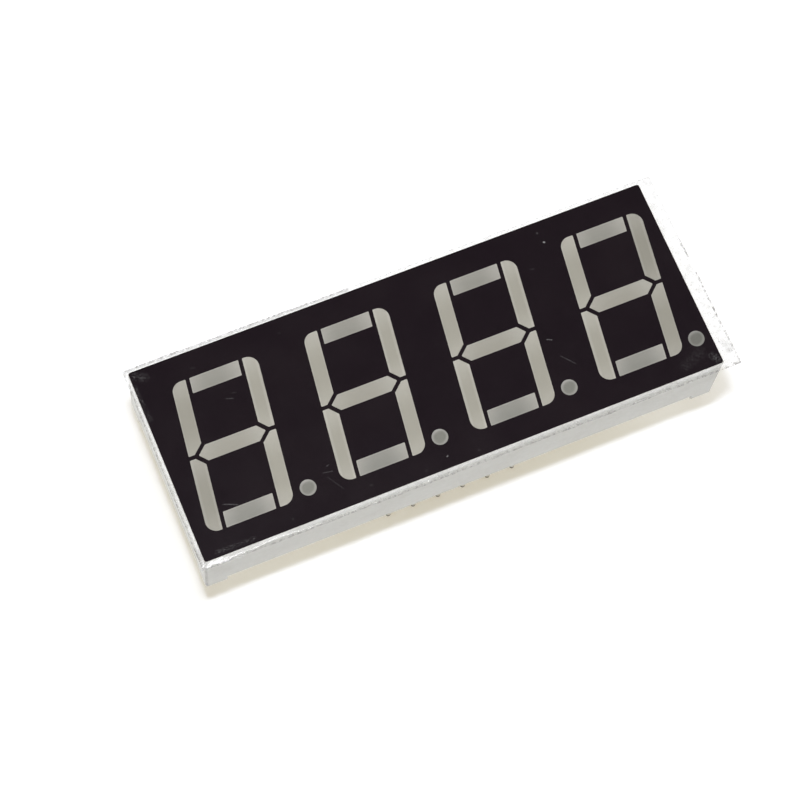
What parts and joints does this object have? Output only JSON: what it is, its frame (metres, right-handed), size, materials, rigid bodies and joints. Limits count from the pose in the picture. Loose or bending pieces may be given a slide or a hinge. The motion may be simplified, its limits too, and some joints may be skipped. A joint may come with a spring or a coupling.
{
  "type": "seven segment display module",
  "caption": "Flat seven segment LED display module: black face with slanted digits and decimal points, and rows of solder pins at the back.",
  "frame": {"origin": "centre of the pin grid, in the plane of the housing's four feet, which seat on a circuit board", "axes": "+X along the row of digits in reading order, +Y towards the digits' tops, +Z out of the face"},
  "size_m": [0.0521, 0.0198, 0.0146],
  "materials": {
    "housing": "satin white moulding",
    "ink": "satin black ink",
    "segment_resin": "grey diffusing resin",
    "board": "green glass and resin laminate",
    "copper": "gold plated copper",
    "chip": "polished crystal",
    "gold_wire": "drawn gold",
    "pin": "tinned",
    "solder": "bright solder",
    "potting": "milky cast resin",
    "film": "clear film"
  },
  "bodies": {
    "root": {"reflector_housing": "housing", "face_ink": "ink", "digit_1_segment_a": "segment_resin", "digit_1_segment_b": "segment_resin", "digit_1_segment_c": "segment_resin", "digit_1_segment_d": "segment_resin", "digit_1_segment_e": "segment_resin", "digit_1_segment_f": "segment_resin", "digit_1_segment_g": "segment_resin", "digit_2_segment_a": "segment_resin", "digit_2_segment_b": "segment_resin", "digit_2_segment_c": "segment_resin", "digit_2_segment_d": "segment_resin", "digit_2_segment_e": "segment_resin", "digit_2_segment_f": "segment_resin", "digit_2_segment_g": "segment_resin", "digit_3_segment_a": "segment_resin", "digit_3_segment_b": "segment_resin", "digit_3_segment_c": "segment_resin", "digit_3_segment_d": "segment_resin", "digit_3_segment_e": "segment_resin", "digit_3_segment_f": "segment_resin", "digit_3_segment_g": "segment_resin", "digit_4_segment_a": "segment_resin", "digit_4_segment_b": "segment_resin", "digit_4_segment_c": "segment_resin", "digit_4_segment_d": "segment_resin", "digit_4_segment_e": "segment_resin", "digit_4_segment_f": "segment_resin", "digit_4_segment_g": "segment_resin", "digit_1_point": "segment_resin", "digit_2_point": "segment_resin", "digit_3_point": "segment_resin", "digit_4_point": "segment_resin", "circuit_board": "board", "die_side_copper": "copper", "solder_side_copper": "copper", "digit_1_led_chips": "chip", "digit_2_led_chips": "chip", "digit_3_led_chips": "chip", "digit_4_led_chips": "chip", "bond_wires": "gold_wire", "pin_1": "pin", "pin_2": "pin", "pin_3": "pin", "pin_4": "pin", "pin_5": "pin", "pin_6": "pin", "pin_7": "pin", "pin_8": "pin", "pin_9": "pin", "pin_10": "pin", "pin_11": "pin", "pin_12": "pin", "solder_joints": "solder", "back_potting": "potting", "protective_film": "film"}
  },
  "joints": []
}
